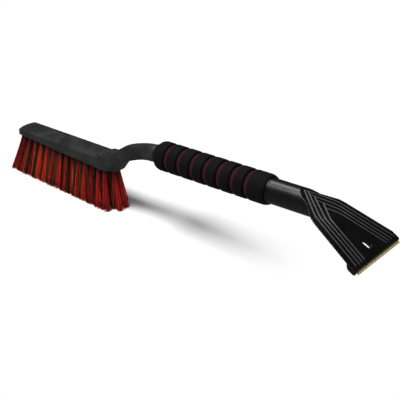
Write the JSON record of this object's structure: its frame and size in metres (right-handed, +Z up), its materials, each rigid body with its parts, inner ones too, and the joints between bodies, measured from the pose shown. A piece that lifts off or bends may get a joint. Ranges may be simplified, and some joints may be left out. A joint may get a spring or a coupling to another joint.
{
  "type": "snow brush with ice scraper",
  "caption": "Car snow brush with trimmed bristles on an arched neck, a banded foam grip, and a flared scraper with a brass blade and a hanging slot.",
  "frame": {"origin": "bottom centre of the bounding box, on the plane of the trimmed bristle tips", "axes": "+X from the brush to the scraper blade, +Z up from the bristle tips to the block, XZ the plane of symmetry"},
  "size_m": [0.568, 0.0856, 0.1313],
  "materials": {
    "brush_plastic": "satin moulded",
    "red_bristle": "fine extruded filament",
    "black_bristle": "fine extruded filament",
    "wire": "drawn",
    "tube": "mill",
    "red_foam": "closed-cell foam",
    "black_foam": "closed-cell foam",
    "scraper_plastic": "polished moulded",
    "blade": "rolled, lightly worn"
  },
  "bodies": {
    "root": {"brush_head": "brush_plastic", "tuft_anchors": "wire", "red_tufts_row_1": "red_bristle", "red_tufts_row_2": "red_bristle", "red_tufts_row_3": "red_bristle", "red_tufts_row_4": "red_bristle", "black_tufts_row_1": "black_bristle", "black_tufts_row_2": "black_bristle", "black_tufts_row_3": "black_bristle", "black_tufts_row_4": "black_bristle", "core_tube": "tube", "neck_pin": "wire", "scraper_pin": "wire", "grip_red_sleeve": "red_foam", "grip_band_1": "black_foam", "grip_band_2": "black_foam", "grip_band_3": "black_foam", "grip_band_4": "black_foam", "grip_band_5": "black_foam", "grip_band_6": "black_foam", "grip_band_7": "black_foam", "grip_band_8": "black_foam", "scraper_head": "scraper_plastic", "scraper_blade": "blade"}
  },
  "joints": []
}
